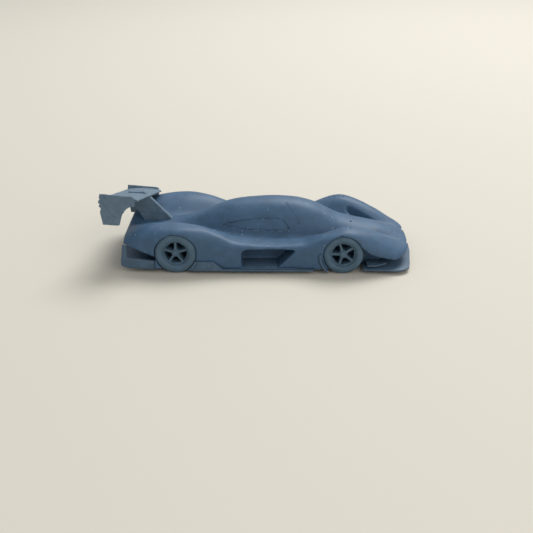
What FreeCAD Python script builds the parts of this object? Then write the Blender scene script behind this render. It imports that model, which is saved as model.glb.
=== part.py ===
"""Resin-printed scale model of a closed endurance prototype race car, about 1:64.

Frame: +X to the nose, +Y to the car's left, +Z up, millimetres. The origin is on the ground,
under the middle of the overall box.
"""

import FreeCAD, Part

import math
import os

import Sketcher

from FreeCAD import Rotation, Vector

SIZES = {
    # name: (mm or degrees, what it is)
    "wheelbase": (42.1, "front axle to rear axle"),
    "front_overhang": (18.8, "front axle to the splitter's lip"),
    "tail_overhang": (13.1, "rear axle to the bodywork's tail"),
    "wing_overhang": (18.5, "rear axle to the wing's trailing edge"),
    "body_width": (30.0, "over the fenders"),
    "roof_height": (15.25, "ground to the canopy's top"),
    "canopy_width": (14.8, "over the foot of the side windows"),
    "ride_height": (0.9, "ground to the floor pan"),
    "floor_thickness": (0.4, "floor pan and splitter plate"),
    "front_tyre": (10.2, "front tyre's diameter"),
    "rear_tyre": (10.7, "rear tyre's diameter"),
    "front_tread": (4.4, "front tyre's width"),
    "rear_tread": (4.8, "rear tyre's width"),
    "tyre_round": (0.9, "radius of the tyre's outer shoulder"),
    "wheel_inset": (0.4, "body side to the tyre's outer wall"),
    "rim_diameter": (6.5, "opening in the tyre"),
    "rim_recess": (0.9, "tyre wall to the spokes"),
    "hub_diameter": (1.7, "centre boss"),
    "hub_height": (0.35, "centre boss, out from the spokes"),
    "arch_gap": (0.15, "tyre to the inside of the wheel arch"),
    "arch_taper": (0.35, "wheel arch, closing in towards the body side"),
    "lip_gap": (0.4, "tyre to the arch's outer lip, in front and behind"),
    "lip_drop": (0.5, "wheel centre down to the centre of the arch's outer lip"),
    "lip_width": (0.22, "the arch's outer lip, out to the body side"),
    "front_skin": (0.9, "arch top to the front fender's crest"),
    "rear_skin": (1.1, "arch top to the rear fender's crest"),
    "axle_diameter": (1.0, "steel wire axle"),
    "axle_clearance": (0.05, "radial, wire in its tube"),
    "intake_length": (13.9, "side intake along its upper edge"),
    "intake_height": (4.8, "side intake"),
    "intake_depth": (7.0, "side intake, in from the body side"),
    "splitter_lip": (1.2, "splitter ahead of the nose"),
    "mouth_sill": (2.1, "floor pan's top to the nose's lower lip"),
    "channel_depth": (1.0, "channel between bonnet and front fender"),
    "keel_width": (6.4, "block that carries the nose, between its mouths"),
    "blade": (0.6, "thickness of the fences, diffuser and skirts"),
    "canard_thickness": (0.4, "dive planes in the front side ducts"),
    "skirt_height": (2.5, "side skirt behind the intake"),
    "skirt_depth": (0.95, "side skirt, in from its outer face"),
    "duct_depth": (4.6, "front side duct, in from the body side"),
    "pylon_thickness": (1.2, "wing pylon"),
    "pylon_foot": (7.8, "wing pylon along the deck"),
    "pylon_top": (4.5, "wing pylon along its upper edge"),
    "pylon_seat": (1.0, "depth of the wing pylon's slot"),
    "wing_height": (16.75, "ground to the pylon's upper edge"),
    "wing_drop": (1.05, "pylon's upper edge to the wing's middle"),
    "wing_chord": (9.2, "wing, front to back"),
    "wing_thickness": (0.95, "wing at its thickest"),
    "wing_span": (26.0, "between the endplates"),
    "wing_roll": (15.0, "wing glued on out of level, right side high"),
    "wing_yaw": (5.0, "wing glued on askew, left side forward"),
    "endplate_height": (7.6, "top edge to the low rear corner"),
    "endplate_thickness": (0.7, "endplate"),
    "endplate_chord": (9.2, "endplate, front to back"),
    "fence_height": (2.5, "diffuser side fence, front end"),
}

doc = FreeCAD.newDocument("prototype_race_car")
sheet = doc.addObject("Spreadsheet::Sheet", "Sizes")
for row, (name, (value, meaning)) in enumerate(SIZES.items(), start=1):
    sheet.set(f"A{row}", name)
    sheet.set(f"B{row}", str(value))
    sheet.set(f"C{row}", meaning)
    sheet.setAlias(f"B{row}", name)
doc.recompute()


def size(name):
    """A driving size, read back from the sheet."""
    return float(sheet.get(name))


# Places that many pieces share, as expressions on the sheet.
LENGTH = "(Sizes.front_overhang + Sizes.wheelbase + Sizes.wing_overhang)"
FRONT = f"({LENGTH} / 2 - Sizes.front_overhang)"
REAR = f"({FRONT} - Sizes.wheelbase)"
TAIL = f"({REAR} - Sizes.tail_overhang)"
SIDE = "(Sizes.body_width / 2)"
DECK = "(Sizes.ride_height + Sizes.floor_thickness)"
WHEEL_FACE = f"({SIDE} - Sizes.wheel_inset)"
FRONT_ARCH = "(Sizes.front_tyre / 2 + Sizes.arch_gap)"
REAR_ARCH = "(Sizes.rear_tyre / 2 + Sizes.arch_gap)"
FRONT_WELL = f"({WHEEL_FACE} - Sizes.front_tread - Sizes.arch_gap)"
REAR_WELL = f"({WHEEL_FACE} - Sizes.rear_tread - Sizes.arch_gap)"

# The same places as numbers, for the bodywork's lines.
lip_x = (size("front_overhang") + size("wheelbase") + size("wing_overhang")) / 2
front_x = lip_x - size("front_overhang")
rear_x = front_x - size("wheelbase")
tail_x = rear_x - size("tail_overhang")
nose_x = lip_x - size("splitter_lip")
half_width = size("body_width") / 2
deck_z = size("ride_height") + size("floor_thickness")
front_axle_z = size("front_tyre") / 2
rear_axle_z = size("rear_tyre") / 2
front_arch = front_axle_z + size("arch_gap")
rear_arch = rear_axle_z + size("arch_gap")
front_crest = front_axle_z + front_arch + size("front_skin")
rear_crest = rear_axle_z + rear_arch + size("rear_skin")
roof = size("roof_height")
waist_x = (front_x + rear_x) / 2 + 3.6

SIDES = {"left": 1, "right": -1}
parts = []

# ---------------------------------------------------------------- helpers


def plane_of(body, role):
    """One of a body's own origin planes."""
    return next(f for f in body.Origin.OriginFeatures if f.Role == role)


def new_sketch(body, name, role="XY_Plane"):
    """A sketch on an origin plane. XZ_Plane sketches run X, Z; YZ_Plane ones run Y, Z."""
    sketch = body.newObject("Sketcher::SketchObject", name)
    sketch.AttachmentSupport = (plane_of(body, role), [""])
    sketch.MapMode = "FlatFace"
    return sketch


def draw_outline(sketch, corners):
    """A closed outline whose corners follow expressions, one (across, up) pair a corner."""
    count = len(corners)
    for index in range(count):
        spread = Vector(math.cos(index), math.sin(index), 0)
        onward = Vector(math.cos(index + 1), math.sin(index + 1), 0)
        sketch.addGeometry(Part.LineSegment(spread, onward), False)
    for index in range(count):
        sketch.addConstraint(Sketcher.Constraint("Coincident", index, 2, (index + 1) % count, 1))
    for index, pair in enumerate(corners):
        for kind, expression in zip(("DistanceX", "DistanceY"), pair):
            row = sketch.addConstraint(Sketcher.Constraint(kind, -1, 1, index, 1, 0.1 + index))
            sketch.setExpression(f"Constraints[{row}]", str(expression))


def add_pad(body, sketch, thick, name="Pad", middle=False, back=False):
    """A pad of a sketch, its length on an expression."""
    pad = body.newObject("PartDesign::Pad", name)
    pad.Profile = sketch
    pad.setExpression("Length", str(thick))
    pad.Midplane = middle
    pad.Reversed = back
    return pad


def plate(label, role, corners, thick, middle="0"):
    """A flat plate: an outline on an origin plane, padded evenly about a height or width."""
    body = doc.addObject("PartDesign::Body", label)
    body.Label = label
    sketch = new_sketch(body, label + "_outline", role)
    draw_outline(sketch, corners)
    add_pad(body, sketch, thick, label + "_pad", True)
    axis = {"XY_Plane": "z", "XZ_Plane": "y"}[role]
    body.setExpression(f"Placement.Base.{axis}", str(middle))
    return body


def rod(name, radius, span, x, y, z):
    """A cylinder along Y, its near end at y."""
    cylinder = doc.addObject("Part::Cylinder", name)
    cylinder.Placement.Rotation = Rotation(Vector(1, 0, 0), -90)
    cylinder.setExpression("Radius", radius)
    cylinder.setExpression("Height", span)
    for axis, place in zip("xyz", (x, y, z)):
        cylinder.setExpression(f"Placement.Base.{axis}", place)
    return cylinder


def cut(name, base, tool):
    """A parametric Part cut."""
    result = doc.addObject("Part::Cut", name)
    result.Base = base
    result.Tool = tool
    return result


def keep(label, thing):
    """Lists a document object as one of the model's pieces."""
    thing.Label = label
    parts.append((label, thing))
    return thing


# ---------------------------------------------------------------- bodywork skin


def fair(points, x):
    """A smooth line through (x, value) points that never overshoots them."""
    xs = [p[0] for p in points]
    vs = [p[1] for p in points]
    if x <= xs[0]:
        return vs[0]
    if x >= xs[-1]:
        return vs[-1]
    rise = [(vs[i + 1] - vs[i]) / (xs[i + 1] - xs[i]) for i in range(len(xs) - 1)]
    slope = [rise[0]]
    for before, after in zip(rise, rise[1:]):
        slope.append(0 if before * after <= 0 else 2 * before * after / (before + after))
    slope.append(rise[-1])
    i = max(k for k in range(len(xs) - 1) if xs[k] <= x)
    span = xs[i + 1] - xs[i]
    s = (x - xs[i]) / span
    return (
        (1 + 2 * s) * (1 - s) ** 2 * vs[i]
        + s * (1 - s) ** 2 * span * slope[i]
        + s * s * (3 - 2 * s) * vs[i + 1]
        + s * s * (s - 1) * span * slope[i + 1]
    )


# Lines along the car, each a list of (x, value).
ROOF_LINE = [  # centre line: deck, spine, canopy, bonnet, nose
    (tail_x, deck_z + 7.8),
    (rear_x - 7.0, deck_z + 7.8),
    (rear_x - 2.4, deck_z + 7.9),
    (rear_x + 3.2, roof - 4.8),
    (rear_x + 9.7, roof - 2.4),
    (rear_x + 13.6, roof - 1.1),
    (rear_x + 18.7, roof - 0.35),
    (waist_x, roof),
    (front_x - 12.2, roof - 0.3),
    (front_x - 7.6, roof - 1.4),
    (front_x - 4.1, roof - 3.0),
    (front_x + 0.0, roof - 5.0),
    (front_x + 6.0, roof - 6.5),
    (front_x + 10.2, deck_z + 6.7),
    (nose_x - 4.4, deck_z + 5.5),
    (nose_x - 2.0, deck_z + 4.4),
    (nose_x - 0.7, deck_z + 3.9),
    (nose_x, deck_z + 3.5),
]
DECK_LINE = [  # the floor of the valley between canopy and fenders
    (tail_x, deck_z + 7.7),
    (rear_x, deck_z + 7.4),
    (rear_x + 12.0, deck_z + 6.7),
    (waist_x, deck_z + 5.9),
    (front_x - 8.0, deck_z + 6.0),
    (front_x, deck_z + 6.3),
    (front_x + 5.0, deck_z + 6.3),
    (front_x + 8.0, deck_z + 5.9),
    (front_x + 11.3, deck_z + 4.9),
    (nose_x - 2.5, deck_z + 3.9),
    (nose_x, deck_z + 3.0),
]
CREST_LINE = [  # along the fender tops
    (tail_x, rear_crest - 3.1),
    (rear_x - 10.2, rear_crest - 1.5),
    (rear_x - 6.3, rear_crest - 0.4),
    (rear_x + 0.6, rear_crest),
    (rear_x + 6.2, rear_crest - 0.6),
    (rear_x + 11.0, rear_crest - 2.3),
    (rear_x + 15.6, deck_z + 6.5),
    (waist_x, deck_z + 5.8),
    (front_x - 10.2, deck_z + 6.3),
    (front_x - 4.8, front_crest - 1.6),
    (front_x + 1.0, front_crest),
    (front_x + 5.6, front_crest - 0.9),
    (front_x + 8.6, front_crest - 2.1),
    (front_x + 10.8, front_crest - 3.1),
    (nose_x - 3.4, front_crest - 5.2),
    (nose_x - 1.0, front_crest - 6.2),
    (nose_x, front_crest - 6.8),
]
CREST_INSET = [  # body side to the crest, across the car
    (tail_x, 5.0),
    (rear_x - 6.0, 4.2),
    (rear_x, 3.8),
    (rear_x + 11.0, 3.0),
    (waist_x, 2.2),
    (front_x - 9.0, 2.8),
    (front_x, 4.0),
    (front_x + 6.0, 5.0),
    (front_x + 10.5, 6.6),
    (nose_x - 3.0, 7.8),
    (nose_x, 8.6),
]
SIDE_INSET = [  # the narrow waist and the rounded nose, in plan
    (tail_x, 1.3),
    (rear_x - 9.0, 0.6),
    (rear_x - 4.0, 0.1),
    (rear_x + 1.5, 0.0),
    (rear_x + 5.4, 0.35),
    (waist_x - 6.0, 0.9),
    (waist_x, 1.1),
    (front_x - 9.0, 0.7),
    (front_x - 5.6, 0.4),
    (front_x - 2.0, 0.0),
    (front_x + 6.5, 0.1),
    (front_x + 9.5, 0.7),
    (nose_x - 4.3, 1.6),
    (nose_x - 2.6, 3.0),
    (nose_x - 1.4, 4.6),
    (nose_x - 0.5, 6.6),
    (nose_x, 8.6),
]
TURN_LINE = [  # height at which the side starts to turn in
    (tail_x, deck_z + 5.4),
    (rear_x - 5.0, deck_z + 6.8),
    (rear_x, deck_z + 7.7),
    (rear_x + 4.5, deck_z + 7.0),
    (rear_x + 9.0, deck_z + 5.5),
    (waist_x, deck_z + 4.7),
    (front_x - 8.0, deck_z + 4.9),
    (front_x - 3.5, deck_z + 6.5),
    (front_x, deck_z + 7.2),
    (front_x + 3.5, deck_z + 6.0),
    (front_x + 6.0, deck_z + 4.6),
    (front_x + 9.5, deck_z + 3.2),
    (nose_x - 3.0, deck_z + 2.4),
    (nose_x, deck_z + 1.9),
]
CANOPY_SPREAD = [  # half width of the spine, canopy and bonnet, against the windows' foot
    (tail_x, 0.42),
    (rear_x - 2.0, 0.44),
    (rear_x + 5.0, 0.62),
    (rear_x + 10.0, 0.84),
    (rear_x + 17.0, 0.98),
    (waist_x, 1.0),
    (front_x - 8.0, 0.97),
    (front_x - 3.0, 0.90),
    (front_x + 3.0, 0.80),
    (front_x + 8.0, 0.70),
    (nose_x, 0.60),
]
CANOPY_FLARE = [  # 0.8 stands steep on the deck, 1.5 runs out into it
    (tail_x, 1.5),
    (rear_x + 4.0, 1.5),
    (rear_x + 16.0, 0.85),
    (waist_x, 0.8),
    (front_x - 7.0, 0.85),
    (front_x, 1.2),
    (nose_x, 1.2),
]
SHOULDER_POWER = [  # 0.95 is a round shoulder, 0.65 a squarer one that covers the tyre
    (tail_x, 0.95),
    (rear_x - 7.5, 0.9),
    (rear_x - 2.5, 0.66),
    (rear_x + 2.5, 0.66),
    (rear_x + 8.0, 0.9),
    (waist_x, 0.95),
    (front_x - 7.5, 0.9),
    (front_x - 2.5, 0.66),
    (front_x + 2.5, 0.66),
    (front_x + 7.0, 0.9),
    (nose_x, 0.95),
]
CREST_EDGE = 2.2  # how roundly a fender falls away inside its crest
FOOT_BLEND = 0.35  # fillet where the canopy meets the deck
SIDE_STEPS = 3
SHOULDER_STEPS = 8
INNER_STEPS = 8
CANOPY_STEPS = 12
FINE = 60


def canopy_rise(across, half, rise, flare):
    """Height of the canopy over the deck, with a small fillet at its foot."""
    s = min(abs(across) / half, 1)
    plain = rise * (1 - s**2.6) ** flare
    return (math.hypot(plain, FOOT_BLEND) - FOOT_BLEND) * rise / (
        math.hypot(rise, FOOT_BLEND) - FOOT_BLEND
    )


def spaced(points, steps):
    """The polyline's points at equal distances along it, without the last one."""
    run = [0]
    for before, after in zip(points, points[1:]):
        run.append(run[-1] + math.dist(before, after))
    result = []
    for i in range(steps):
        reach = run[-1] * i / steps
        k = max(j for j in range(len(run) - 1) if run[j] <= reach)
        s = (reach - run[k]) / max(run[k + 1] - run[k], 1e-9)
        result.append(tuple(p + (q - p) * s for p, q in zip(points[k], points[k + 1])))
    return result


def half_section(x):
    """(y, z) points of the bodywork's left half at x, from the sill to the centre line."""
    side = half_width - fair(SIDE_INSET, x)
    crest_y = min(half_width - fair(CREST_INSET, x), side - 0.3)
    crest_z = fair(CREST_LINE, x)
    valley_z = fair(DECK_LINE, x)
    turn_z = min(fair(TURN_LINE, x), crest_z - 0.3)
    spread = min(size("canopy_width") / 2 * fair(CANOPY_SPREAD, x), crest_y - 0.6)
    inner = crest_y - spread + 0.3
    rise = max(fair(ROOF_LINE, x) - valley_z, 0.02)
    flare = fair(CANOPY_FLARE, x)
    power = fair(SHOULDER_POWER, x)

    def top(y):
        s = min(max((crest_y - y) / inner, 0), 1)
        hump = (crest_z - valley_z) * (1 - s**CREST_EDGE) ** 1.7
        return y, valley_z + hump + canopy_rise(y, spread, rise, flare)

    shoulder = []
    for i in range(FINE + 1):
        a = math.pi / 2 * i / FINE
        y = crest_y + (side - crest_y) * max(math.cos(a), 0) ** power
        shoulder.append((y, turn_z + (crest_z - turn_z) * math.sin(a) ** power))
    shoulder[-1] = (crest_y, crest_z)
    inside = [top(crest_y + (spread - crest_y) * i / FINE) for i in range(FINE + 1)]
    middle = [top(spread * math.cos(math.pi / 2 * i / FINE)) for i in range(FINE + 1)]
    middle[-1] = (0, middle[-1][1])
    wall = [(side, deck_z), (side, turn_z)]
    return (
        spaced(wall, SIDE_STEPS)
        + spaced(shoulder, SHOULDER_STEPS)
        + spaced(inside, INNER_STEPS)
        + spaced(middle, CANOPY_STEPS)
        + middle[-1:]
    )


def fit(points, at):
    """A cubic spline curve through the points, at the given parameters."""
    curve = Part.BSplineCurve()
    curve.interpolate(Points=points, Parameters=at)
    return curve


def skin_surface():
    """One spline surface over the bodywork, from sill to sill and tail to nose."""
    count = 33
    stations = [tail_x + (nose_x - 4.0 - tail_x) * i / count for i in range(count + 1)]
    stations += [nose_x - 3.1, nose_x - 2.3, nose_x - 1.6, nose_x - 1.0, nose_x - 0.5, nose_x]
    rows = []
    for x in stations:
        half = half_section(x)
        right = [Vector(x, -y, z) for y, z in half]
        left = [Vector(x, y, z) for y, z in reversed(half[:-1])]
        rows.append(right + left)
    across = [0]
    for step in range(len(rows[0]) - 1):
        gaps = [row[step].distanceToPoint(row[step + 1]) for row in rows]
        across.append(across[-1] + sum(gaps) / len(gaps))
    lines = [fit(row, across) for row in rows]
    columns = [fit(list(poles), stations) for poles in zip(*[c.getPoles() for c in lines])]
    surface = Part.BSplineSurface()
    surface.buildFromPolesMultsKnots(
        [list(poles) for poles in zip(*[c.getPoles() for c in columns])],
        columns[0].getMultiplicities(),
        lines[0].getMultiplicities(),
        columns[0].getKnots(),
        lines[0].getKnots(),
        False,
        False,
        3,
        3,
    )
    return surface


def skin_solid():
    """The closed bodywork solid, before anything is cut from it."""
    surface = skin_surface()
    u0, u1, v0, v1 = surface.bounds()
    tail, nose = surface.uIso(u0).toShape(), surface.uIso(u1).toShape()
    right, left = surface.vIso(v0).toShape(), surface.vIso(v1).toShape()
    tail_foot = Part.LineSegment(surface.value(u0, v0), surface.value(u0, v1)).toShape()
    nose_foot = Part.LineSegment(surface.value(u1, v0), surface.value(u1, v1)).toShape()
    faces = [surface.toShape()]
    for edges in ([tail, tail_foot], [nose, nose_foot], [tail_foot, left, nose_foot, right]):
        faces.append(Part.Face(Part.Wire(Part.__sortEdges__(edges))))
    shell = Part.makeShell(faces)
    shell.sewShape()
    solid = Part.makeSolid(Part.Shell(shell.Faces))
    if solid.Volume < 0:
        solid.reverse()
    return solid


blank = doc.addObject("Part::Feature", "bodywork_blank")
blank.Shape = skin_solid()

# ---------------------------------------------------------------- wing, endplates and pylon

WING_X = (
    "(0.57 * Sizes.endplate_chord * cos(Sizes.wing_yaw * 1deg) + (Sizes.wing_span / 2"
    f" + Sizes.endplate_thickness) * sin(Sizes.wing_yaw * 1deg) - {LENGTH} / 2)"
)
WING_Z = "(Sizes.wing_height - Sizes.wing_drop)"


def seat_wing(body, out="0"):
    """Places a wing piece: drawn level about the origin, then rolled and turned as it was glued."""
    body.Placement.Rotation = Rotation(-size("wing_yaw"), 0, -size("wing_roll"))
    flat = f"{out} * cos(Sizes.wing_roll * 1deg)"
    body.setExpression("Placement.Base.x", f"{WING_X} + {flat} * sin(Sizes.wing_yaw * 1deg)")
    body.setExpression("Placement.Base.y", f"{flat} * cos(Sizes.wing_yaw * 1deg)")
    body.setExpression("Placement.Base.z", f"{WING_Z} - {out} * sin(Sizes.wing_roll * 1deg)")


CHORD = "Sizes.wing_chord"
PLATE = "Sizes.endplate_chord"
THICK = "Sizes.wing_thickness"
wing_blank = plate(
    "wing_blank",
    "XZ_Plane",
    [  # aerofoil, leading edge at +X, from the leading edge over the top
        (f"{CHORD} * 0.50", f"-{THICK} * 0.15"),
        (f"{CHORD} * 0.48", f"{THICK} * 0.18"),
        (f"{CHORD} * 0.40", f"{THICK} * 0.42"),
        (f"{CHORD} * 0.22", f"{THICK} * 0.62"),
        ("0", f"{THICK} * 0.66"),
        (f"-{CHORD} * 0.25", f"{THICK} * 0.56"),
        (f"-{CHORD} * 0.50", f"{THICK} * 0.36"),
        (f"-{CHORD} * 0.50", f"{THICK} * 0.06"),
        (f"-{CHORD} * 0.25", f"-{THICK} * 0.10"),
        ("0", f"-{THICK} * 0.26"),
        (f"{CHORD} * 0.22", f"-{THICK} * 0.36"),
        (f"{CHORD} * 0.40", f"-{THICK} * 0.38"),
        (f"{CHORD} * 0.48", f"-{THICK} * 0.34"),
    ],
    "Sizes.wing_span",
)
seat_wing(wing_blank)

for side, sign in SIDES.items():
    endplate = plate(
        f"wing_endplate_{side}",
        "XZ_Plane",
        [
            (f"-{PLATE} * 0.54", "1.35"),
            (f"{PLATE} * 0.36", "0.95"),
            (f"{PLATE} * 0.41", "0.5"),
            (f"{PLATE} * 0.41", "-1.5"),
            (f"{PLATE} * 0.30", "-1.6"),
            (f"{PLATE} * 0.18", "-2.2"),
            (f"{PLATE} * 0.07", "-3.6"),
            ("0", "1.35 - Sizes.endplate_height"),
            (f"-{PLATE} * 0.45", "1.35 - Sizes.endplate_height"),
            (f"-{PLATE} * 0.53", "-2.6"),
            (f"-{PLATE} * 0.57", "-0.9"),
        ],
        "Sizes.endplate_thickness",
    )
    seat_wing(endplate, f"((Sizes.wing_span + Sizes.endplate_thickness) / 2 * {sign})")
    keep(f"wing_endplate_{side}", endplate)

PYLON_FRONT = f"({REAR} - 2.0)"
PYLON_Z = f"({DECK} + 7.8)"
pylon = plate(
    "wing_pylon",
    "XZ_Plane",
    [
        (PYLON_FRONT, f"{PYLON_Z} - Sizes.pylon_seat"),
        (PYLON_FRONT, f"{PYLON_Z}"),
        (f"{PYLON_FRONT} - 6.8", "Sizes.wing_height - 0.25"),
        (f"{PYLON_FRONT} - 7.2", "Sizes.wing_height"),
        (f"{PYLON_FRONT} - 6.8 - Sizes.pylon_top", "Sizes.wing_height"),
        (f"{PYLON_FRONT} - 6.2 - Sizes.pylon_top", "Sizes.wing_height - 2.4"),
        (f"{PYLON_FRONT} - Sizes.pylon_foot", f"{PYLON_Z} + 0.4"),
        (f"{PYLON_FRONT} - Sizes.pylon_foot", f"{PYLON_Z} - Sizes.pylon_seat"),
    ],
    "Sizes.pylon_thickness",
)
keep("wing_pylon", pylon)
keep("rear_wing_plane", cut("rear_wing_plane", wing_blank, pylon))

# ---------------------------------------------------------------- wheel wells and skirts

# A well is a little larger than its tyre and closes in a little towards the body side, under
# the fender's round shoulder. The arch's outer lip is a larger circle set lower, so that it
# hangs over the top of the tyre.
wells = {}
for end, x, well in (("front", FRONT, FRONT_WELL), ("rear", REAR, REAR_WELL)):
    tyre = f"Sizes.{end}_tyre"
    bend = f"({WHEEL_FACE} - Sizes.tyre_round)"
    lip = f"({SIDE} - Sizes.lip_width)"
    arch = f"{tyre} / 2 + Sizes.arch_gap"
    for side, sign in SIDES.items():
        taper = doc.addObject("Part::Cone", f"{end}_{side}_taper")
        taper.Placement.Rotation = Rotation(Vector(1, 0, 0), -90 * sign)
        taper.setExpression("Radius1", arch)
        taper.setExpression("Radius2", f"{arch} - Sizes.arch_taper")
        taper.setExpression("Height", f"{lip} - {bend} + 0.03")
        taper.setExpression("Placement.Base.x", x)
        taper.setExpression("Placement.Base.y", f"{bend} * {sign}")
        taper.setExpression("Placement.Base.z", f"{tyre} / 2")
        wells[end, side] = [
            rod(
                f"{end}_{side}_well",
                arch,
                f"{bend} - {well} + 0.04",
                x,
                well if sign > 0 else f"-{bend} - 0.04",
                f"{tyre} / 2",
            ),
            taper,
            rod(
                f"{end}_{side}_lip",
                f"{tyre} / 2 + Sizes.lip_gap",
                "Sizes.lip_width + 1.07",
                x,
                f"{lip} - 0.07" if sign > 0 else f"-{SIDE} - 1",
                f"{tyre} / 2 - Sizes.lip_drop",
            ),
        ]

SKIRT_REAR = f"({REAR} + Sizes.rear_tyre / 2 - 2.4)"
for side, sign in SIDES.items():
    skirt = plate(
        f"side_skirt_{side}_blank",
        "XZ_Plane",
        [
            (SKIRT_REAR, "Sizes.ride_height"),
            (f"{FRONT} - {FRONT_ARCH} - 2.1", "Sizes.ride_height"),
            (f"{FRONT} - {FRONT_ARCH} - 2.1", f"{DECK} - 0.05"),
            (f"{SKIRT_REAR} + 9.0", f"{DECK} - 0.05"),
            (f"{SKIRT_REAR} + 6.4", "Sizes.ride_height + Sizes.skirt_height"),
            (SKIRT_REAR, "Sizes.ride_height + Sizes.skirt_height"),
        ],
        "Sizes.skirt_depth",
        f"({SIDE} - Sizes.skirt_depth / 2) * {sign}",
    )
    well, taper, lip = wells["rear", side]
    for tool in (well, taper):
        skirt = cut(f"side_skirt_{side}_less_{tool.Name}", skirt, tool)
    keep(f"side_skirt_{side}", cut(f"side_skirt_{side}", skirt, lip))

# ---------------------------------------------------------------- vanes and dive planes

for side, sign in SIDES.items():
    outer = rod(
        f"vane_outer_{side}",
        f"{FRONT_ARCH} + 0.85",
        "0.9",
        FRONT,
        f"({SIDE} - 0.45) * {sign} - 0.45",
        "Sizes.front_tyre / 2",
    )
    outer.Angle = 52
    outer.Placement.Rotation = Rotation(Vector(1, 0, 0), -90) * Rotation(Vector(0, 0, 1), 130)
    inner = rod(
        f"vane_inner_{side}",
        f"{FRONT_ARCH} + 0.5",
        "2",
        f"{FRONT} + 0.22",
        f"({SIDE} - 0.45) * {sign} - 1",
        "Sizes.front_tyre / 2 + 0.1",
    )
    keep(f"front_wheel_vane_{side}", cut(f"front_wheel_vane_{side}", outer, inner))

for side, sign in SIDES.items():
    root = f"({SIDE} - Sizes.duct_depth) * {sign}"
    canard = plate(
        f"dive_plane_{side}",
        "XY_Plane",
        [
            (f"{FRONT} + {FRONT_ARCH} + 0.6", root),
            (f"{FRONT} + {FRONT_ARCH} + 5.0", root),
            (f"{FRONT} + {FRONT_ARCH} + 6.0", f"({SIDE} - 2.4) * {sign}"),
            (f"{FRONT} + {FRONT_ARCH} + 3.4", f"({SIDE} - 0.9) * {sign}"),
            (f"{FRONT} + {FRONT_ARCH} + 1.0", f"({SIDE} - 0.7) * {sign}"),
        ],
        "Sizes.canard_thickness",
        f"{DECK} + 0.8",
    )
    keep(f"dive_plane_{side}", canard)

# ---------------------------------------------------------------- floor, splitter and diffuser

FLOOR_EDGE = f"({SIDE} - Sizes.skirt_depth)"
FLOOR_STEPS = [
    (f"{FRONT} + {FRONT_ARCH}", FRONT_WELL),
    (f"{FRONT} - {FRONT_ARCH}", FRONT_WELL),
    (f"{FRONT} - {FRONT_ARCH}", FLOOR_EDGE),
    (f"{REAR} + {REAR_ARCH}", FLOOR_EDGE),
    (f"{REAR} + {REAR_ARCH}", REAR_WELL),
    (f"{REAR} - {REAR_ARCH}", REAR_WELL),
]
FLOOR_MIDDLE = "Sizes.ride_height + Sizes.floor_thickness / 2"
keep(
    "floor_pan",
    plate(
        "floor_pan",
        "XY_Plane",
        FLOOR_STEPS + [(x, f"-{y}") for x, y in reversed(FLOOR_STEPS)],
        "Sizes.floor_thickness",
        FLOOR_MIDDLE,
    ),
)

SPLITTER_EDGE = [
    (f"{FRONT} + {FRONT_ARCH}", f"({SIDE} - 0.35)"),
    (f"{LENGTH} / 2 - 5.2", f"({SIDE} - 0.05)"),
    (f"{LENGTH} / 2 - 3.4", f"({SIDE} - 0.5)"),
    (f"{LENGTH} / 2 - 1.9", f"({SIDE} - 1.9)"),
    (f"{LENGTH} / 2 - 1.3", f"({SIDE} - 4.4)"),
    (f"{LENGTH} / 2 - 0.8", f"({SIDE} - 8.2)"),
    (f"{LENGTH} / 2 - 0.2", f"({SIDE} - 12.0)"),
]
splitter = plate(
    "front_splitter",
    "XY_Plane",
    SPLITTER_EDGE
    + [(f"{LENGTH} / 2", "0")]
    + [(x, f"-{y}") for x, y in reversed(SPLITTER_EDGE)],
    "Sizes.floor_thickness",
    FLOOR_MIDDLE,
)
keep("front_splitter", splitter)

RAMP_X = f"({REAR} - {REAR_ARCH})"
FENCE_EDGE = f"({SIDE} - 0.8)"
RAMP_HALF = f"({FENCE_EDGE} - Sizes.blade)"
WAKE_FRONT = f"({REAR} - {REAR_ARCH} + 0.2)"
WAKE_LOW = f"({DECK} + 3.3)"
WAKE_HIGH = f"({DECK} + 6.4)"
diffuser = plate(
    "rear_diffuser",
    "XZ_Plane",
    [
        (RAMP_X, "Sizes.ride_height"),
        (RAMP_X, DECK),
        (f"{RAMP_X} - 3.5", f"{DECK} + 0.6"),
        (f"{TAIL} - 0.9", f"{DECK} + 2.2"),
        (f"{TAIL} - 0.9", f"{DECK} + 2.2 - Sizes.blade"),
        (f"{RAMP_X} - 3.5", f"{DECK} + 0.6 - Sizes.blade"),
        (f"{RAMP_X} - 1.0", "Sizes.ride_height"),
    ],
    f"{RAMP_HALF} * 2",
)
strake_sketch = new_sketch(diffuser, "strake_outline", "XZ_Plane")
strake_sketch.setExpression("AttachmentOffset.Base.z", f"{RAMP_HALF} * 0.66")
draw_outline(
    strake_sketch,
    [
        (f"{RAMP_X} - 2.2", "Sizes.ride_height"),
        (f"{RAMP_X} - 2.2", f"{DECK} + 0.2 - Sizes.blade / 2"),
        (f"{RAMP_X} - 3.5", f"{DECK} + 0.6 - Sizes.blade / 2"),
        (f"{TAIL} - 0.9", f"{DECK} + 2.2 - Sizes.blade / 2"),
        (f"{TAIL} - 0.9", f"{DECK} + 0.6"),
        (f"{TAIL} + 1.5", "Sizes.ride_height"),
    ],
)
strake = add_pad(diffuser, strake_sketch, "Sizes.blade", "strake_pad", True)
strakes = diffuser.newObject("PartDesign::LinearPattern", "strakes")
strakes.Originals = [strake]
strakes.Direction = (strake_sketch, ["N_Axis"])
strakes.Reversed = True
strakes.setExpression("Length", f"{RAMP_HALF} * 1.32")
strakes.Occurrences = 4
diffuser.Tip = strakes
keep("rear_diffuser", diffuser)

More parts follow.
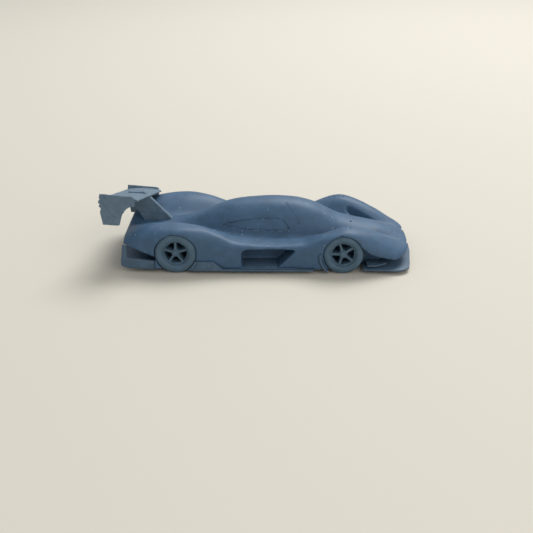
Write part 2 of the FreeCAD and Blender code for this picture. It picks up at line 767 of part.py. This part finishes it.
for side, sign in SIDES.items():
    fence = plate(
        f"diffuser_fence_{side}",
        "XZ_Plane",
        [
            (f"{RAMP_X} + 0.2", "Sizes.ride_height"),
            (f"{RAMP_X} + 0.1", "Sizes.ride_height + Sizes.fence_height - 0.1"),
            (f"{TAIL} + 0.9", "Sizes.ride_height + Sizes.fence_height + 0.7"),
            (f"{TAIL} + 0.75", f"{WAKE_HIGH} - 0.38"),
            (f"{TAIL} - 0.1", f"{WAKE_HIGH} - 0.02"),
            (f"{TAIL} - 0.7", "Sizes.ride_height + 2.6"),
            (f"{TAIL} - 0.8", "Sizes.ride_height + 1.1"),
            (f"{TAIL} + 0.6", "Sizes.ride_height + 0.45"),
        ],
        "Sizes.blade",
        f"({FENCE_EDGE} - Sizes.blade / 2) * {sign}",
    )
    keep(f"diffuser_fence_{side}", fence)

# ---------------------------------------------------------------- bodywork cuts

bores = []
for end, x in (("front", FRONT), ("rear", REAR)):
    bore = "Sizes.axle_diameter / 2 + Sizes.axle_clearance"
    bores.append(rod(f"{end}_bore", bore, f"{SIDE} * 2", x, f"-{SIDE}", f"Sizes.{end}_tyre / 2"))

INTAKE_X = f"({FRONT} - 25.6)"
INTAKE_Z = f"({DECK} + 0.15)"
MOUTH = f"({DECK} + Sizes.mouth_sill)"
NOSE = f"({LENGTH} / 2 - Sizes.splitter_lip)"
ducts = []
for side, sign in SIDES.items():
    ducts.append(plate(
        f"side_intake_{side}",
        "XZ_Plane",
        [
            (INTAKE_X, INTAKE_Z),
            (f"{INTAKE_X} + Sizes.intake_length - 4.6", INTAKE_Z),
            (f"{INTAKE_X} + Sizes.intake_length", f"{INTAKE_Z} + Sizes.intake_height"),
            (f"{INTAKE_X} + 1.3", f"{INTAKE_Z} + Sizes.intake_height"),
            (f"{INTAKE_X} + 0.45", f"{INTAKE_Z} + Sizes.intake_height - 0.3"),
            (INTAKE_X, f"{INTAKE_Z} + Sizes.intake_height - 1.1"),
        ],
        "Sizes.intake_depth + 1",
        f"({SIDE} - Sizes.intake_depth / 2 + 0.5) * {sign}",
    ))
    ducts.append(plate(
        f"side_duct_{side}",
        "XZ_Plane",
        [
            (f"{FRONT} + {FRONT_ARCH} - 1.2", "-1"),
            (f"{FRONT} + {FRONT_ARCH} - 1.2", f"{DECK} + 6.2"),
            (f"{FRONT} + {FRONT_ARCH}", f"{DECK} + 5.4"),
            (f"{FRONT} + {FRONT_ARCH} + 1.1", f"{DECK} + 4.5"),
            (f"{FRONT} + {FRONT_ARCH} + 2.3", f"{DECK} + 3.8"),
            (f"{FRONT} + {FRONT_ARCH} + 4.2", f"{DECK} + 3.0"),
            (f"{FRONT} + {FRONT_ARCH} + 7.8", MOUTH),
            (f"{NOSE} - 2.0", f"{MOUTH} + 0.1"),
            (NOSE, f"{MOUTH} + 0.9"),
            (f"{NOSE} + 1", f"{MOUTH} + 1.4"),
            (f"{NOSE} + 1", "-1"),
        ],
        "Sizes.duct_depth + 1",
        f"({SIDE} - Sizes.duct_depth / 2 + 0.5) * {sign}",
    ))
    keel = "Sizes.keel_width / 2"
    inner = f"({SIDE} - Sizes.duct_depth + 0.1)"
    ducts.append(plate(
        f"mouth_{side}",
        "XZ_Plane",
        [
            (f"{FRONT} + {FRONT_ARCH} + 4.6", "-1"),
            (f"{FRONT} + {FRONT_ARCH} + 4.6", f"{DECK} + 1.3"),
            (f"{FRONT} + {FRONT_ARCH} + 7.8", MOUTH),
            (f"{NOSE} - 2.0", f"{MOUTH} + 0.1"),
            (NOSE, f"{MOUTH} + 0.9"),
            (f"{NOSE} + 1", f"{MOUTH} + 1.4"),
            (f"{NOSE} + 1", "-1"),
        ],
        f"{inner} - {keel}",
        f"({inner} + {keel}) / 2 * {sign}",
    ))
    channel = plate(
        f"channel_{side}",
        "XY_Plane",
        [
            ("-5.5", f"({SIDE} - 6.8) * {sign}"),
            ("-3.0", f"({SIDE} - 7.5) * {sign}"),
            ("0.2", f"({SIDE} - 8.7) * {sign}"),
            ("3.6", f"({SIDE} - 10.2) * {sign}"),
            ("4.6", f"({SIDE} - 10.8) * {sign}"),
            ("3.0", f"({SIDE} - 10.7) * {sign}"),
            ("0.5", f"({SIDE} - 10.3) * {sign}"),
            ("-2.5", f"({SIDE} - 9.4) * {sign}"),
            ("-4.6", f"({SIDE} - 8.0) * {sign}"),
        ],
        "5",
    )
    channel.Placement.Rotation = Rotation(Vector(0, 1, 0), 11)
    channel.setExpression("Placement.Base.x", f"{FRONT} + {FRONT_ARCH} + 2.0")
    channel.setExpression("Placement.Base.z", f"{DECK} + 5.7 - Sizes.channel_depth + 2.5")
    ducts.append(channel)
wake = plate(
    "wake",
    "XZ_Plane",
    [
        (WAKE_FRONT, "-1"),
        (WAKE_FRONT, WAKE_LOW),
        (f"{TAIL} - 1", f"{WAKE_HIGH} + ({WAKE_HIGH} - {WAKE_LOW}) / ({WAKE_FRONT} - {TAIL})"),
        (f"{TAIL} - 1", "-1"),
    ],
    f"{SIDE} * 2 + 2",
)
seated = ("side_skirt", "front_wheel_vane", "wing_endplate_left")
seats = [thing for label, thing in parts if label.startswith(seated)]
openings = [tool for pair in wells.values() for tool in pair]
shell = blank
for tool in openings + bores + ducts + [wake, pylon] + seats:
    shell = cut(f"bodywork_less_{tool.Name}", shell, tool)
keep("upper_body", shell)

# ---------------------------------------------------------------- wheels and axles


def wheel(label, tyre, tread, x, sign, turned):
    """A five-spoke wheel with its tyre, drawn about the origin with its outer wall at -Y."""
    body = doc.addObject("PartDesign::Body", label)
    body.Label = label
    radius = f"({tyre} / 2)"
    rim = "(Sizes.rim_diameter / 2)"
    face = f"(Sizes.rim_recess - {tread})"
    profile = new_sketch(body, label + "_profile", "XY_Plane")
    draw_outline(
        profile,
        [
            ("Sizes.axle_diameter / 2", "0"),
            (f"{radius} - 0.3", "0"),
            (radius, "-0.3"),
            (radius, f"-{tread} + Sizes.tyre_round"),
            (f"{radius} - Sizes.tyre_round * 0.13", f"-{tread} + Sizes.tyre_round * 0.5"),
            (f"{radius} - Sizes.tyre_round * 0.5", f"-{tread} + Sizes.tyre_round * 0.13"),
            (f"{radius} - Sizes.tyre_round", f"-{tread}"),
            (f"{rim} + 0.55", f"-{tread} + 0.06"),
            (f"{rim} + 0.15", f"-{tread} + 0.22"),
            (rim, f"-{tread} + 0.5"),
            (f"{rim} - 0.15", face),
            ("Sizes.hub_diameter / 2", f"{face}"),
            ("Sizes.hub_diameter / 2 - 0.15", f"{face} - Sizes.hub_height"),
            ("0", f"{face} - Sizes.hub_height"),
            ("0", f"{face} + 0.3"),
            ("Sizes.axle_diameter / 2", f"{face} + 0.3"),
        ],
    )
    solid = body.newObject("PartDesign::Revolution", label + "_turned")
    solid.Profile = profile
    solid.ReferenceAxis = (profile, ["V_Axis"])
    solid.Angle = 360
    gap = new_sketch(body, label + "_gap", "XZ_Plane")
    draw_outline(
        gap,
        [
            ("-0.38", "Sizes.hub_diameter / 2 + 0.15"),
            ("0.38", "Sizes.hub_diameter / 2 + 0.15"),
            (f"{rim} * 0.45", f"{rim} * 0.76"),
            (f"{rim} * 0.24", f"{rim} * 0.86"),
            (f"-{rim} * 0.24", f"{rim} * 0.86"),
            (f"-{rim} * 0.45", f"{rim} * 0.76"),
        ],
    )
    pocket = body.newObject("PartDesign::Pocket", label + "_opening")
    pocket.Profile = gap
    pocket.Type = 0
    pocket.Midplane = True
    pocket.setExpression("Length", f"({tread} - Sizes.rim_recess) * 2")
    ring = body.newObject("PartDesign::PolarPattern", label + "_openings")
    ring.Originals = [pocket]
    ring.Axis = (profile, ["V_Axis"])
    ring.Angle = 360
    ring.Occurrences = 5
    body.Tip = ring
    body.Placement.Rotation = Rotation(Vector(0, 0, 1), 90 + 90 * sign) * Rotation(
        Vector(0, 1, 0), turned
    )
    body.setExpression("Placement.Base.x", x)
    body.setExpression("Placement.Base.y", f"({WHEEL_FACE} - {tread}) * {sign}")
    body.setExpression("Placement.Base.z", radius)
    return body


for end, x, turned in (("front", FRONT, 18), ("rear", REAR, 36)):
    tyre, tread = f"Sizes.{end}_tyre", f"Sizes.{end}_tread"
    reach = f"({WHEEL_FACE} - Sizes.rim_recess - 0.3)"
    axle = rod(f"{end}_axle", "Sizes.axle_diameter / 2", f"{reach} * 2", x, f"-{reach}", f"{tyre} / 2")
    keep(f"{end}_axle", axle)
    for side, sign in SIDES.items():
        keep(f"{end}_{side}_wheel", wheel(f"{end}_{side}_wheel", tyre, tread, x, sign, turned))

# ---------------------------------------------------------------- checks and files

doc.recompute()
failed = [o.Name for o in doc.Objects if {"Invalid", "Error"} & set(o.State)]
if failed:
    raise RuntimeError(f"features that did not compute: {failed}")
for label, thing in parts:
    shape = thing.Shape
    if shape.isNull() or not shape.isValid() or shape.Volume <= 0:
        raise RuntimeError(f"{label} has no valid solid")
    print(f"{label}: {len(shape.Solids)} solid, {shape.Volume:.2f} mm3")

os.makedirs("parts", exist_ok=True)
for label, thing in parts:
    thing.Shape.exportStep(f"parts/{label}.step")
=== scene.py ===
import math
import random

import bmesh
import bpy
from mathutils import Matrix, Vector
from mathutils.bvhtree import BVHTree


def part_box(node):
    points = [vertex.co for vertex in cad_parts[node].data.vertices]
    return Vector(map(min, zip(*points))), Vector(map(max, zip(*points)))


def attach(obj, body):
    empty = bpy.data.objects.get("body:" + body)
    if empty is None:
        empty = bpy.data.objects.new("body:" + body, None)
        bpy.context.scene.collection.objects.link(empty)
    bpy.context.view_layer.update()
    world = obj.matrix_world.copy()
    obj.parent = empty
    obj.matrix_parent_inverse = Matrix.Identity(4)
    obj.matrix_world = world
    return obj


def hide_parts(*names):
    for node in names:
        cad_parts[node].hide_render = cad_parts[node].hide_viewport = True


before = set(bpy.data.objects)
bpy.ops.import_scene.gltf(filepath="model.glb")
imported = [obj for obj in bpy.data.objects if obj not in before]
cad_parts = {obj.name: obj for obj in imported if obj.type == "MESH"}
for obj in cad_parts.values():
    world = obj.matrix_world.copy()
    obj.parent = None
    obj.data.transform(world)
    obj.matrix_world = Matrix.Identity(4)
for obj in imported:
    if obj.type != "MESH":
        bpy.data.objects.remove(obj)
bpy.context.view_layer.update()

MM = 0.001

# ---- Camera, floor and light
# The model stands on a plain pale table top. It is seen from its right side, a little from above,
# with the nose to the right.

scene = bpy.context.scene
scene.view_settings.view_transform = "Standard"

ELEVATION = math.radians(25.96)
TURN = math.radians(0.48)
FOCAL_PX = 780.9
NEAR_POINT = Vector((1.653, -14.25, 5.25)) * MM
NEAR_DEPTH = 195.6 * MM
NEAR_RISE = 2.99 * MM

forward = Vector((
    -math.sin(TURN) * math.cos(ELEVATION),
    math.cos(TURN) * math.cos(ELEVATION),
    -math.sin(ELEVATION),
))
right = Vector((math.cos(TURN), math.sin(TURN), 0))
up = right.cross(forward)
camera_data = bpy.data.cameras.new("camera")
camera_data.sensor_width = 36
camera_data.lens = FOCAL_PX / 533 * camera_data.sensor_width
camera_data.clip_start = 0.01
camera_data.clip_end = 50
camera = bpy.data.objects.new("camera", camera_data)
scene.collection.objects.link(camera)
turned = Matrix((right, up, -forward)).transposed().to_4x4()
turned.translation = NEAR_POINT - forward * NEAR_DEPTH - up * NEAR_RISE
camera.matrix_world = turned
scene.camera = camera


def shader(material, name, **settings):
    """A shader node with its inputs or settings given by name."""
    node = material.node_tree.nodes.new("ShaderNode" + name)
    for key, value in settings.items():
        key = key.replace("_", " ")
        if key in node.inputs:
            node.inputs[key].default_value = value
        else:
            setattr(node, key.replace(" ", "_"), value)
    return node


def wire(material, start, end):
    """Links one socket to another."""
    material.node_tree.links.new(start, end)


def plain_material(name):
    """A node material with its Principled shader."""
    material = bpy.data.materials.new(name)
    material.use_nodes = True
    return material, material.node_tree.nodes["Principled BSDF"]


floor_mesh = bpy.data.meshes.new("table_top")
work = bmesh.new()
bmesh.ops.create_grid(work, x_segments=1, y_segments=1, size=3)
work.to_mesh(floor_mesh)
work.free()
floor = bpy.data.objects.new("table_top", floor_mesh)
scene.collection.objects.link(floor)
table, table_surface = plain_material("table_top")
table_surface.inputs["Base Color"].default_value = (0.56, 0.52, 0.44, 1)
table_surface.inputs["Roughness"].default_value = 0.75
floor_mesh.materials.append(table)

world = bpy.data.worlds.new("room")
scene.world = world
world.use_nodes = True
sky = world.node_tree.nodes["Background"]
sky.inputs["Color"].default_value = (0.93, 0.96, 1.0, 1)
sky.inputs["Strength"].default_value = 0.58


def lamp(name, place, aim, size, power, tint):
    """A soft square lamp that points at a place."""
    data = bpy.data.lights.new(name, "AREA")
    data.size = size
    data.energy = power
    data.color = tint
    thing = bpy.data.objects.new(name, data)
    thing.location = place
    direction = Vector(aim) - Vector(place)
    thing.rotation_euler = direction.to_track_quat("-Z", "Y").to_euler()
    scene.collection.objects.link(thing)


lamp("window_light", (0.25, 0.45, 0.75), (0, 0, 0), 0.5, 7.5, (0.96, 0.98, 1.0))
lamp("room_fill", (0.5, -0.6, 0.45), (0, 0, 0), 0.6, 2.2, (1.0, 0.97, 0.93))

# ---- Printed resin
# Everything but the axles is one matt blue-grey printing resin. It shows faint layer lines all
# round, soft mottling and fine white dust. The pale crests of the pontoon seams are a painted
# highlight.


def resin(name, colour, dust=0.5, layers=1.0):
    """Matt printing resin: mottled colour, dust flecks and layer lines."""
    material, surface = plain_material(name)
    place = shader(material, "TexCoord").outputs["Object"]

    mottle = shader(material, "TexNoise", Scale=420.0, Detail=4.0, Roughness=0.6)
    wire(material, place, mottle.inputs["Vector"])
    shade = shader(material, "ValToRGB")
    ramp = shade.color_ramp
    ramp.elements[0].position = 0.3
    ramp.elements[0].color = (*[c * 0.84 for c in colour], 1)
    ramp.elements[1].position = 0.7
    ramp.elements[1].color = (*[c * 1.16 for c in colour], 1)
    wire(material, mottle.outputs["Fac"], shade.inputs["Fac"])

    flecks = shader(material, "TexVoronoi", Scale=1500.0)
    wire(material, place, flecks.inputs["Vector"])
    near = shader(material, "Math", operation="LESS_THAN")
    near.inputs[1].default_value = 0.16
    wire(material, flecks.outputs["Distance"], near.inputs[0])
    chance = shader(material, "SeparateColor")
    wire(material, flecks.outputs["Color"], chance.inputs["Color"])
    few = shader(material, "Math", operation="GREATER_THAN")
    few.inputs[1].default_value = 1 - 0.06 * dust
    wire(material, chance.outputs["Red"], few.inputs[0])
    fleck = shader(material, "Math", operation="MULTIPLY")
    wire(material, near.outputs[0], fleck.inputs[0])
    wire(material, few.outputs[0], fleck.inputs[1])
    dusty = shader(material, "Mix", data_type="RGBA")
    dusty.inputs["B"].default_value = (0.42, 0.48, 0.54, 1)
    wire(material, fleck.outputs[0], dusty.inputs["Factor"])
    wire(material, shade.outputs["Color"], dusty.inputs["A"])
    wire(material, dusty.outputs["Result"], surface.inputs["Base Color"])

    lines = shader(material, "TexWave", Scale=1.0, bands_direction="Z", Distortion=0.4)
    stretch = shader(material, "Mapping")
    stretch.inputs["Scale"].default_value = (900, 900, 2200)
    wire(material, place, stretch.inputs["Vector"])
    wire(material, stretch.outputs["Vector"], lines.inputs["Vector"])
    grain = shader(material, "TexNoise", Scale=6000.0, Detail=2.0)
    wire(material, place, grain.inputs["Vector"])
    relief = shader(material, "Math", operation="MULTIPLY_ADD")
    relief.inputs[1].default_value = 0.5 * layers
    wire(material, lines.outputs["Fac"], relief.inputs[0])
    wire(material, grain.outputs["Fac"], relief.inputs[2])
    bump = shader(material, "Bump", Strength=0.35, Distance=0.00003)
    wire(material, relief.outputs[0], bump.inputs["Height"])
    wire(material, bump.outputs["Normal"], surface.inputs["Normal"])

    surface.inputs["Specular IOR Level"].default_value = 0.35
    gloss = shader(material, "MapRange")
    gloss.inputs["To Min"].default_value = 0.42
    gloss.inputs["To Max"].default_value = 0.6
    wire(material, mottle.outputs["Fac"], gloss.inputs["Value"])
    wire(material, gloss.outputs["Result"], surface.inputs["Roughness"])
    return material


body_resin = resin("body_resin", (0.043, 0.094, 0.163))
shade_resin = resin("chassis_resin", (0.060, 0.104, 0.155), 0.3)
wheel_resin = resin("wheel_resin", (0.062, 0.112, 0.158), 0.2, 0.5)
wing_resin = resin("wing_resin", (0.098, 0.150, 0.198), 0.3, 0.6)


def merged_copy(node, name):
    """A CAD node's mesh as a new object, its loose triangles joined."""
    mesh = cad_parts[node].data.copy()
    work = bmesh.new()
    work.from_mesh(mesh)
    bmesh.ops.remove_doubles(work, verts=work.verts, dist=0.002 * MM)
    work.to_mesh(mesh)
    work.free()
    piece = bpy.data.objects.new(name, mesh)
    scene.collection.objects.link(piece)
    return piece


def settle(piece):
    """Applies a piece's modifiers into its mesh."""
    graph = bpy.context.evaluated_depsgraph_get()
    done = bpy.data.meshes.new_from_object(piece.evaluated_get(graph))
    piece.modifiers.clear()
    piece.data = done


def linked(work, name):
    """A finished bmesh as a new object in the scene."""
    mesh = bpy.data.meshes.new(name)
    work.to_mesh(mesh)
    work.free()
    piece = bpy.data.objects.new(name, mesh)
    scene.collection.objects.link(piece)
    return piece


def carve(piece, tool, name):
    """Cuts one object out of another, then drops the cutting object."""
    cutting = piece.modifiers.new(name, "BOOLEAN")
    cutting.operation = "DIFFERENCE"
    cutting.solver = "EXACT"
    cutting.object = tool
    settle(piece)
    bpy.data.objects.remove(tool)


def finish_piece(piece, node, body, material, angle=38):
    """Smooth shading up to an angle, one material, and the piece's place in the frame."""
    mesh = piece.data
    mesh.materials.clear()
    mesh.materials.append(material)
    mesh.shade_smooth()
    mesh.set_sharp_from_angle(angle=math.radians(angle))
    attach(piece, body)
    if node:
        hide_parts(node)


# ---- Bodywork
# One solid print: canopy, fenders, nose and tail in a single skin whose edges the print rounds
# off. The window outlines, windscreen edges, fender louvres and two bonnet pits are engraved.

bodywork = merged_copy("upper_body", "bodywork")
voxels = bodywork.modifiers.new("print", "REMESH")
voxels.mode = "VOXEL"
voxels.voxel_size = 0.295 * MM
voxels.adaptivity = 0
soften = bodywork.modifiers.new("soften", "SMOOTH")
soften.factor = 0.5
soften.iterations = 3
settle(bodywork)
skin = BVHTree.FromObject(bodywork, bpy.context.evaluated_depsgraph_get())


def on_skin(start, aim):
    """The point and outward direction where a line from start meets the bodywork."""
    start = Vector(start) * MM
    place, facing, _, _ = skin.ray_cast(start, (Vector(aim) * MM - start).normalized())
    return place, facing


def smooth_line(corners, steps):
    """Points along a smooth curve through the corners."""
    curve = bpy.data.curves.new("line", "CURVE")
    curve.dimensions = "3D"
    curve.resolution_u = steps
    run = curve.splines.new("BEZIER")
    run.bezier_points.add(len(corners) - 1)
    for point, corner in zip(run.bezier_points, corners):
        point.co = corner
        point.handle_left_type = point.handle_right_type = "AUTO"
    thing = bpy.data.objects.new("line", curve)
    mesh = bpy.data.meshes.new_from_object(thing)
    points = [vert.co.copy() for vert in mesh.vertices]
    bpy.data.objects.remove(thing)
    bpy.data.curves.remove(curve)
    return points


def groove(target, corners, width, sink):
    """Adds to a bmesh a rod that lies half in the bodywork along a line of points on it."""
    curve = bpy.data.curves.new("groove", "CURVE")
    curve.dimensions = "3D"
    curve.bevel_depth = width / 2
    curve.bevel_resolution = 1
    curve.use_fill_caps = True
    run = curve.splines.new("POLY")
    run.points.add(len(corners) - 1)
    for point, (place, facing) in zip(run.points, corners):
        point.co = (*(place + facing * sink), 1)
    thing = bpy.data.objects.new("groove", curve)
    mesh = bpy.data.meshes.new_from_object(thing)
    target.from_mesh(mesh)
    bpy.data.objects.remove(thing)
    bpy.data.curves.remove(curve)


WINDOW = [  # the side window's outline on the right side, as x and z
    (-9.9, 9.7), (-5.2, 9.15), (0.4, 8.8), (5.1, 8.75), (7.2, 8.9),
    (6.6, 10.3), (4.9, 11.5), (1.2, 11.6), (-2.9, 11.3), (-6.5, 10.7), (-9.9, 9.7),
]
SCREEN_EDGE = [(6.6, 14.75), (7.4, 13.9), (8.6, 12.5), (9.8, 10.8), (10.7, 9.3)]
LOUVRES = 4
LOUVRE_START = 18.9
LOUVRE_PITCH = 1.25
cutters = bmesh.new()
for sign in (-1, 1):
    for outline, width in ((WINDOW, 0.15), (SCREEN_EDGE, 0.17)):
        seen = [Vector((x, 0, z)) for x, z in outline]
        points = [
            on_skin((p.x, 16 * sign, p.z), (p.x, 0, p.z))
            for p in smooth_line(seen, 6)
        ]
        groove(cutters, [p for p in points if p[0]], width * MM, 0.02 * MM)
    for index in range(LOUVRES):
        x = LOUVRE_START + LOUVRE_PITCH * index
        ends = [on_skin((x, y * sign, 18), (x, y * sign, 0)) for y in (10.5, 11.1, 11.7)]
        groove(cutters, ends, 0.26 * MM, 0.02 * MM)
    place, facing = on_skin((23.6, 2.1 * sign, 18), (23.6, 2.1 * sign, 0))
    pit = bmesh.ops.create_uvsphere(cutters, u_segments=12, v_segments=8, radius=0.3 * MM)
    bmesh.ops.translate(cutters, verts=pit["verts"], vec=place)
bmesh.ops.recalc_face_normals(cutters, faces=cutters.faces)
carve(bodywork, linked(cutters, "engraving"), "engrave")
finish_piece(bodywork, "upper_body", "chassis", body_resin, 60)

# ---- Pontoon seams
# A fine raised seam runs along each front pontoon towards the nose. It is the same resin, with a
# painted highlight: its pale colour stands in for the light caught along the pontoon's edge.

# Pale seam colour: a painted highlight along each pontoon's sharp edge, not wear.
painted_highlight_resin = resin("painted_highlight_resin", (0.20, 0.27, 0.33), 0.4, 0.3)
SEAM = [(27.9, 11.3), (30.0, 10.1), (32.1, 8.6), (34.6, 6.1), (36.6, 3.8)]
for side, sign in (("left", 1), ("right", -1)):
    seam = bmesh.new()
    seen = [Vector((x, y * sign, 0)) for x, y in SEAM]
    points = [on_skin((p.x, p.y, 18), (p.x, p.y, 0)) for p in smooth_line(seen, 8)]
    groove(seam, [p for p in points if p[0]], 0.13 * MM, -0.01 * MM)
    bead = linked(seam, f"pontoon_seam_{side}")
    finish_piece(bead, None, "chassis", painted_highlight_resin)

# ---- Support nubs
# Short stubs of the printing supports are left along the sills under the side intakes. They are
# the same resin, snapped off unevenly.

NUB_PITCH = 0.8
for side, sign in (("left", 1), ("right", -1)):
    nubs = bmesh.new()
    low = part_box(f"side_skirt_{side}")[0].z
    for index in range(15):
        length = (0.30, 0.42, 0.36, 0.48, 0.33)[index * 3 % 5] * MM
        stub = bmesh.ops.create_cone(
            nubs, cap_ends=True, segments=8, radius1=0.12 * MM, radius2=0.24 * MM, depth=length
        )
        x = (-7.0 + NUB_PITCH * index) * MM
        y = sign * (14.72 - 0.05 * (index % 2)) * MM
        place = (x, y, low - length / 2 + 0.06 * MM)
        bmesh.ops.translate(nubs, verts=stub["verts"], vec=place)
    stubs = linked(nubs, f"support_nubs_{side}")
    finish_piece(stubs, None, "chassis", body_resin)

# ---- Print dust
# Crumbs of white dust and cured resin stick to the model: along the window lines, on the roof,
# at the pylon's foot and where supports were cut from the tail.

dust_white, dust_surface = plain_material("print_dust")
dust_place = shader(dust_white, "TexCoord").outputs["Object"]
dust_noise = shader(dust_white, "TexNoise", Scale=9000.0, Detail=2.0)
wire(dust_white, dust_place, dust_noise.inputs["Vector"])
dust_shade = shader(dust_white, "ValToRGB")
dust_shade.color_ramp.elements[0].color = (0.22, 0.30, 0.38, 1)
dust_shade.color_ramp.elements[1].color = (0.62, 0.67, 0.70, 1)
wire(dust_white, dust_noise.outputs["Fac"], dust_shade.inputs["Fac"])
wire(dust_white, dust_shade.outputs["Color"], dust_surface.inputs["Base Color"])
dust_surface.inputs["Roughness"].default_value = 0.9

crumbs = bmesh.new()
rolls = random.Random(7)


def crumb(place, facing, size):
    """One flattened, turned crumb on the skin."""
    grain = bmesh.ops.create_icosphere(crumbs, subdivisions=1, radius=size)
    for vert in grain["verts"]:
        vert.co *= rolls.uniform(0.75, 1.15)
    bmesh.ops.scale(
        crumbs,
        verts=grain["verts"],
        vec=(rolls.uniform(0.7, 1.5), rolls.uniform(0.7, 1.3), 0.5),
    )
    turn = facing.to_track_quat("Z", "Y").to_matrix()
    bmesh.ops.rotate(crumbs, verts=grain["verts"], matrix=turn)
    bmesh.ops.translate(crumbs, verts=grain["verts"], vec=place)


for sign in (-1, 1):
    lower = smooth_line([Vector((x, 0, z - 0.12)) for x, z in WINDOW[:5]], 14)
    for point in lower:
        if rolls.random() < 0.75:
            x = point.x + rolls.uniform(-0.2, 0.2)
            z = point.z + rolls.uniform(-0.1, 0.1)
            place, facing = on_skin((x, 16 * sign, z), (x, 0, z))
            crumb(place, facing, rolls.uniform(0.05, 0.10) * MM)
    for x, z, size in (
        (5.8, 14.5, 0.13), (1.4, 14.3, 0.09), (-4.7, 7.7, 0.12), (3.0, 12.9, 0.06),
        (-1.5, 12.2, 0.06), (8.0, 13.2, 0.06), (9.4, 11.3, 0.06), (10.4, 9.8, 0.06),
        (-3.5, 10.4, 0.07), (-0.5, 10.2, 0.06), (2.2, 10.9, 0.06), (-31.1, 9.9, 0.13),
    ):
        place, facing = on_skin((x, 16 * sign, z), (x, 0, z))
        if place:
            crumb(place, facing, size * MM)
for index in range(26):
    x = rolls.uniform(-30, 34)
    y = rolls.uniform(-12, 12)
    place, facing = on_skin((x, y, 22), (x, y, 0))
    if place:
        crumb(place, facing, rolls.uniform(0.03, 0.06) * MM)
dust = linked(crumbs, "print_dust")
finish_piece(dust, None, "chassis", dust_white, 180)

# ---- Blades and plates
# Thin printed blades: floor pan, splitter, dive planes, vanes, skirts, diffuser and its fences.
# Their edges are slightly rounded, as a small print leaves them.

for node in (
    "floor_pan", "front_splitter", "dive_plane_left", "dive_plane_right",
    "front_wheel_vane_left", "front_wheel_vane_right", "side_skirt_left", "side_skirt_right",
    "rear_diffuser", "diffuser_fence_left", "diffuser_fence_right",
):
    blade = merged_copy(node, node + "_print")
    edge = blade.modifiers.new("edge", "BEVEL")
    edge.width = 0.1 * MM
    edge.segments = 2
    edge.limit_method = "ANGLE"
    edge.angle_limit = math.radians(40)
    settle(blade)
    finish_piece(blade, node, "chassis", shade_resin)

# ---- Rear wing
# The plane, its two endplates and the pylon are a paler print, glued on out of level. The print
# is lumpy and soft edged, and the right endplate is torn along its rear edge and cracked.

lumps = bpy.data.textures.new("wing_lumps", "CLOUDS")
lumps.noise_scale = 1.6 * MM
TEARS = [  # along the right endplate's rear edge: share of its height, radius in mm
    (0.08, 0.30), (0.24, 0.42), (0.37, 0.24), (0.52, 0.48), (0.66, 0.30), (0.83, 0.36),
]
for node in ("wing_pylon", "rear_wing_plane", "wing_endplate_left", "wing_endplate_right"):
    blade = merged_copy(node, node + "_print")
    voxels = blade.modifiers.new("print", "REMESH")
    voxels.mode = "VOXEL"
    voxels.voxel_size = 0.14 * MM
    soften = blade.modifiers.new("soften", "SMOOTH")
    soften.factor = 0.5
    soften.iterations = 3
    uneven = blade.modifiers.new("uneven", "DISPLACE")
    uneven.texture = lumps
    uneven.strength = 0.22 * MM
    uneven.mid_level = 0.5
    settle(blade)
    if node == "wing_endplate_right":
        low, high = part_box(node)
        tears = bmesh.new()
        for share, radius in TEARS:
            bite = bmesh.ops.create_icosphere(tears, subdivisions=2, radius=radius * MM)
            bmesh.ops.scale(tears, verts=bite["verts"], vec=(1, 8, 1.2))
            edge_x = low.x + 0.04 * (high.x - low.x) * (1 - share)
            place = (edge_x, (low.y + high.y) / 2, low.z + share * (high.z - low.z))
            bmesh.ops.translate(tears, verts=bite["verts"], vec=place)
        plate_faces = BVHTree.FromObject(blade, bpy.context.evaluated_depsgraph_get())
        crack = []
        for x, z in ((-38.8, 18.9), (-38.0, 17.6), (-37.0, 16.9), (-36.3, 15.7), (-35.2, 15.0)):
            start = Vector((x, -20, z)) * MM
            place, facing, _, _ = plate_faces.ray_cast(start, Vector((0, 1, 0)))
            if place:
                crack.append((place, facing))
        groove(tears, crack, 0.2 * MM, 0.03 * MM)
        bmesh.ops.recalc_face_normals(tears, faces=tears.faces)
        carve(blade, linked(tears, "tears"), "torn")
    finish_piece(blade, node, "chassis", wing_resin, 50)

# ---- Wheels and axles
# Each wheel is one print, tyre and five-spoke rim together, on a plain steel wire axle.

for end in ("front", "rear"):
    for side in ("left", "right"):
        node = f"{end}_{side}_wheel"
        wheel = merged_copy(node, node + "_print")
        edge = wheel.modifiers.new("edge", "BEVEL")
        edge.width = 0.08 * MM
        edge.segments = 2
        edge.limit_method = "ANGLE"
        edge.angle_limit = math.radians(50)
        settle(wheel)
        finish_piece(wheel, node, f"{end}_wheelset", wheel_resin)

steel, steel_surface = plain_material("axle_steel")
steel_surface.inputs["Metallic"].default_value = 1
draw_marks = shader(steel, "TexNoise", Scale=3000.0, Detail=3.0)
steel_place = shader(steel, "TexCoord").outputs["Object"]
wire(steel, steel_place, draw_marks.inputs["Vector"])
steel_shade = shader(steel, "ValToRGB")
steel_shade.color_ramp.elements[0].color = (0.42, 0.42, 0.43, 1)
steel_shade.color_ramp.elements[1].color = (0.66, 0.66, 0.67, 1)
wire(steel, draw_marks.outputs["Fac"], steel_shade.inputs["Fac"])
wire(steel, steel_shade.outputs["Color"], steel_surface.inputs["Base Color"])
steel_surface.inputs["Roughness"].default_value = 0.35
for node in ("front_axle", "rear_axle"):
    axle_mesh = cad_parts[node].data
    axle_mesh.materials.clear()
    axle_mesh.materials.append(steel)
